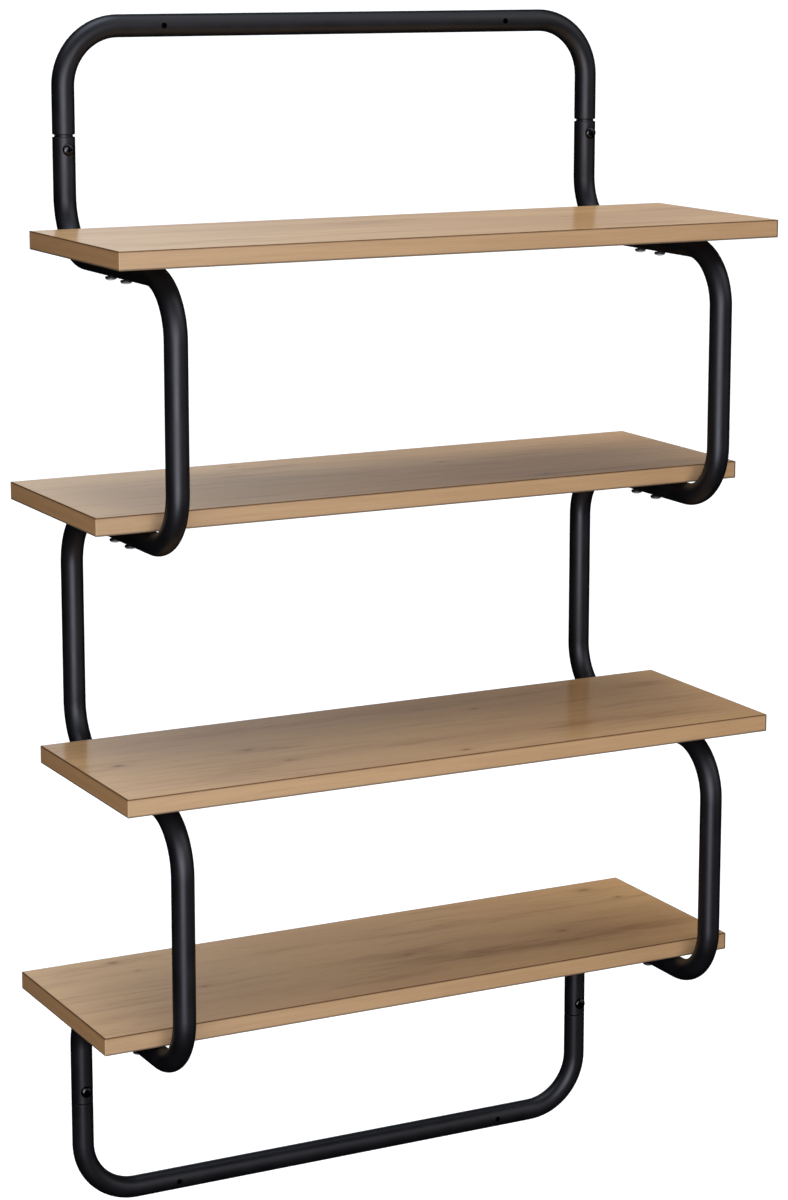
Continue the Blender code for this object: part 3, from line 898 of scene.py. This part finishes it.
def make_tubes():
    """The side tubes and the bows. Gives the drills that the boards' pilot holes are cut with too."""
    coat = coat_material()
    walls, joints = wall_drill(), joint_drill()
    drills = [shelf_drill(number) for number in BOARDS]
    for side, x in SIDES.items():
        tube = link(f"side_tube_{side}_fine", side_tube_mesh(x))
        dress(cut(tube, joints, *drills), f"side_tube_{side}", coat)
    for end, z, way in (("top", TOP_BAR_Z, -1), ("bottom", BOTTOM_BAR_Z, 1)):
        bow = link(f"{end}_bow_fine", bow_mesh(z, way))
        dress(cut(bow, joints, walls), f"{end}_bow", coat)
    for drill in (walls, joints):
        bpy.data.objects.remove(drill)
    return drills


def make_boards(drills):
    """The four boards, each with a decor of its own and its pilot holes."""
    band, arris = band_material(), arris_material()
    for (number, (low, high)), drill in zip(BOARDS.items(), drills):
        board = link(f"shelf_{number}_fine", board_mesh(high - low), (0, low.y, high.z))
        cut(board, drill)
        board.data.shade_flat()
        decor = decor_material(number, *DECORS[number])
        dress(board, f"shelf_{number}", decor, band, arris)
        bpy.data.objects.remove(drill)


def make_shelf_screws():
    """Two screws under each end of each board. Gives the angle of the last one's recess."""
    zinc = bright_zinc_material()
    length = SEAT_GAP + 2 * TUBE_RADIUS + SEAT_GAP + BOARD_SIZE.z - SHELF_SCREW_COVER
    mesh = screw_mesh(
        "shelf_screw_fine", SHELF_SCREW_HEAD, SHELF_SCREW_HEAD_HEIGHT, SHELF_SCREW_SHANK, length, True
    )
    turn = 0
    for number in BOARDS:
        z = run_z(number) - TUBE_RADIUS - SEAT_GAP
        for side, x in SIDES.items():
            for row, y in screw_rows().items():
                name = f"shelf_screw_{number}_{side}_{row}"
                turn += SCREW_TURN
                screw = link(f"{name}_fine", mesh, (x, y, z), (0, 0, turn))
                dress(screw, name, zinc)
    return turn


def make_joint_screws(turn):
    """One screw at each joint. Each recess turns on from the one before. The nuts keep their mesh."""
    black, steel = black_zinc_material(), steel_material()
    low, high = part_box("joint_screw_top_left")
    length = high.y - low.y - JOINT_SCREW_HEAD_HEIGHT
    mesh = screw_mesh(
        "joint_screw_fine", JOINT_SCREW_HEAD, JOINT_SCREW_HEAD_HEIGHT, JOINT_SCREW_SHANK, length, False
    )
    y = BACK_AXIS_Y - TUBE_RADIUS - SEAT_GAP
    for end, z in JOINT_Z.items():
        for side, x in SIDES.items():
            turn += SCREW_TURN
            spin = Euler((0, 0, turn)).to_matrix()
            tilt = (Euler((-math.pi / 2, 0, 0)).to_matrix() @ spin).to_euler()
            screw = link(f"joint_screw_{end}_{side}_fine", mesh, (x, y, z), tilt)
            dress(screw, f"joint_screw_{end}_{side}", black)
            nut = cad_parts[f"joint_nut_{end}_{side}"]
            nut.data.materials.clear()
            nut.data.materials.append(steel)


# Each board's decor: seed, tone (its own, and partly painted light: lighter on the top board, which no
# board shades), smudges (x, y, length, width, darkness) and knots (x, y, radius, darkness)
DECORS = {
    1: (
        11.3,
        1.185,
        [
            (-0.035, 0.127, 0.030, 0.010, 0.60),
            (0.002, 0.143, 0.025, 0.006, 0.50),
            (0.272, 0.135, 0.030, 0.012, 0.60),
            (0.205, 0.024, 0.045, 0.008, 0.45),
            (-0.200, 0.040, 0.060, 0.010, 0.25),
        ],
        [(0.156, 0.107, 0.0016, 0.45)],
    ),
    2: (
        27.9,
        1.05,
        [
            (-0.127, 0.124, 0.022, 0.012, 0.65),
            (-0.080, 0.150, 0.050, 0.006, 0.40),
            (0.220, 0.135, 0.080, 0.016, 0.40),
            (0.150, 0.014, 0.070, 0.007, 0.65),
            (0.080, 0.055, 0.060, 0.024, 0.32),
            (0.090, 0.100, 0.100, 0.010, 0.24),
        ],
        [(0.119, 0.019, 0.0022, 0.6), (0.069, 0.113, 0.0028, 0.35), (-0.104, 0.173, 0.0022, 0.4)],
    ),
    3: (
        41.7,
        0.90,
        [
            (-0.145, 0.094, 0.030, 0.008, 0.70),
            (-0.188, 0.030, 0.030, 0.014, 0.60),
            (-0.040, 0.162, 0.170, 0.007, 0.60),
            (0.180, 0.045, 0.060, 0.008, 0.75),
            (0.215, 0.090, 0.040, 0.006, 0.65),
            (-0.040, 0.058, 0.080, 0.005, 0.40),
            (0.267, 0.148, 0.018, 0.007, 0.55),
            (-0.220, 0.090, 0.090, 0.090, 0.14),
        ],
        [
            (-0.267, 0.099, 0.0030, 0.80),
            (-0.152, 0.097, 0.0032, 0.60),
            (-0.135, 0.052, 0.0022, 0.60),
            (0.010, 0.015, 0.0022, 0.70),
            (0.083, 0.134, 0.0018, 0.50),
        ],
    ),
    4: (
        63.2,
        0.95,
        [
            (0.021, 0.075, 0.035, 0.010, 0.80),
            (0.170, 0.050, 0.080, 0.010, 0.75),
            (0.050, 0.052, 0.060, 0.006, 0.55),
            (-0.015, 0.028, 0.030, 0.008, 0.45),
            (0.140, 0.132, 0.100, 0.005, 0.45),
            (-0.255, 0.042, 0.040, 0.008, 0.45),
            (-0.240, 0.172, 0.040, 0.006, 0.45),
            (-0.240, 0.090, 0.110, 0.100, 0.18),
        ],
        [
            (-0.221, 0.175, 0.0030, 0.70),
            (-0.210, 0.146, 0.0016, 0.50),
            (-0.175, 0.082, 0.0020, 0.60),
            (0.252, 0.169, 0.0040, 0.55),
            (0.269, 0.136, 0.0020, 0.60),
            (0.173, 0.073, 0.0024, 0.60),
            (0.019, 0.078, 0.0026, 0.50),
        ],
    ),
}


# Camera, light and floor


def make_camera():
    """The photograph's camera. Its shift holds the photograph's off-centre framing."""
    camera = bpy.data.cameras.new("camera")
    camera.sensor_width = SENSOR_WIDTH
    camera.lens = FOCAL_PIXELS / IMAGE_HEIGHT * camera.sensor_width
    camera.shift_x = (IMAGE_WIDTH / 2 - CENTRE_PIXEL_X) / IMAGE_HEIGHT
    camera.shift_y = (CENTRE_PIXEL_Y - IMAGE_HEIGHT / 2) / IMAGE_HEIGHT
    camera.clip_start = CLIP_NEAR
    camera.clip_end = CLIP_FAR
    item = link("camera", camera)
    forward = Vector((
        math.sin(CAMERA_YAW) * math.cos(CAMERA_PITCH),
        math.cos(CAMERA_YAW) * math.cos(CAMERA_PITCH),
        -math.sin(CAMERA_PITCH),
    ))
    level = Vector((math.cos(CAMERA_YAW), -math.sin(CAMERA_YAW), 0))
    upright = level.cross(forward)
    right = math.cos(CAMERA_ROLL) * level + math.sin(CAMERA_ROLL) * upright
    up = right.cross(forward)
    turn = Matrix((right, up, -forward)).transposed()
    item.matrix_world = Matrix.Translation(CAMERA_PLACE) @ turn.to_4x4()
    bpy.context.scene.camera = item


# Soft light from far off: turn from the front towards the right and height, in degrees, tightness,
# strength and warmth
SKY = {
    "overhead": (0, 90, 25, 6.5, -0.08),
    "left": (-90, 60, 14, 1.65, -0.06),
    "right": (45, 10, 14, 0.65, 0),
    "right_high": (45, 40, 14, 1.8, 0.04),
    "behind": (160, 5, 100, 0.49, -0.08),
    "behind_right": (144, 4, 100, 0.39, -0.08),
    "behind_high": (163, 18, 80, 0.64, -0.06),
}

# The wide soft light near the camera, as discs: turn and height, in degrees, and watts
KEY_DISCS = {
    "middle": (-28, -8, 29),
    "left": (-43, 15, 12),
    "right": (-13, 15, 17),
}
KEY_DISTANCE = 2.2
KEY_DISC_SIZE = 1.3

FLOOR_Z = -1.55
FLOOR_SIZE = 700
FLOOR_GREY = 0.85
FLOOR_ROUGHNESS = 0.9
FLOOR_GLOW = 0.45


def towards(turn, height):
    """Direction from the shelf to a light."""
    turn, height = math.radians(turn), math.radians(height)
    flat = math.cos(height)
    return Vector((math.sin(turn) * flat, -math.cos(turn) * flat, math.sin(height)))


def make_world():
    """Plain white for the camera, and the soft lights of the sky for everything else."""
    world = bpy.data.worlds.new("studio")
    bpy.context.scene.world = world
    world.use_nodes = True
    tree = world.node_tree
    tree.nodes.clear()
    way = node(tree, "ShaderNodeTexCoord").outputs["Generated"]
    total = (0, 0, 0)
    for turn, height, tightness, strength, warmth in SKY.values():
        inputs = {0: way, 1: towards(turn, height)}
        dot = node(tree, "ShaderNodeVectorMath", inputs, operation="DOT_PRODUCT").outputs["Value"]
        lobe = calc(tree, "EXPONENT", calc(tree, "MULTIPLY_ADD", dot, tightness, -tightness))
        colour = (strength * (1 + warmth), strength, strength * (1 - warmth))
        inputs = {0: lobe, 1: colour, 2: total}
        total = node(tree, "ShaderNodeVectorMath", inputs, operation="MULTIPLY_ADD").outputs[0]
    glow = node(tree, "ShaderNodeBackground", {"Color": total, "Strength": 1.0})
    plain = node(tree, "ShaderNodeBackground", {"Color": (1, 1, 1, 1), "Strength": 1.0})
    seen = node(tree, "ShaderNodeLightPath").outputs["Is Camera Ray"]
    mixed = node(tree, "ShaderNodeMixShader", {0: seen, 1: glow.outputs[0], 2: plain.outputs[0]})
    output = tree.nodes.new("ShaderNodeOutputWorld")
    tree.links.new(mixed.outputs[0], output.inputs[0])


def make_key():
    """The three discs of light round the camera."""
    middle = Vector((0, SCREW_MIDDLE_Y, 0))
    for name, (turn, height, watts) in KEY_DISCS.items():
        lamp = bpy.data.lights.new(f"key_{name}", "AREA")
        lamp.shape = "DISK"
        lamp.size = KEY_DISC_SIZE
        lamp.energy = watts
        way = towards(turn, height)
        turned_to = way.to_track_quat("Z", "Y").to_euler()
        item = link(f"key_{name}", lamp, middle + KEY_DISTANCE * way, turned_to)
        item.visible_camera = False


def make_floor():
    """A plain white floor far below, which gives the shelf no bounce light."""
    shape = bmesh.new()
    bmesh.ops.create_grid(shape, x_segments=1, y_segments=1, size=FLOOR_SIZE / 2)
    floor = link("floor", mesh_of("floor", shape, smooth=False), (0, 0, FLOOR_Z))
    material, _, shader = new_material("floor_white")
    shader.inputs["Base Color"].default_value = (FLOOR_GREY, FLOOR_GREY, FLOOR_GREY, 1)
    shader.inputs["Roughness"].default_value = FLOOR_ROUGHNESS
    shader.inputs["Emission Color"].default_value = (1, 1, 1, 1)
    shader.inputs["Emission Strength"].default_value = FLOOR_GLOW
    floor.data.materials.append(material)
    floor.visible_glossy = False
    floor.visible_diffuse = False


make_camera()
make_world()
make_key()
make_floor()
bpy.context.scene.view_settings.view_transform = "Standard"
make_boards(make_tubes())
last_turn = make_shelf_screws()
make_joint_screws(last_turn)
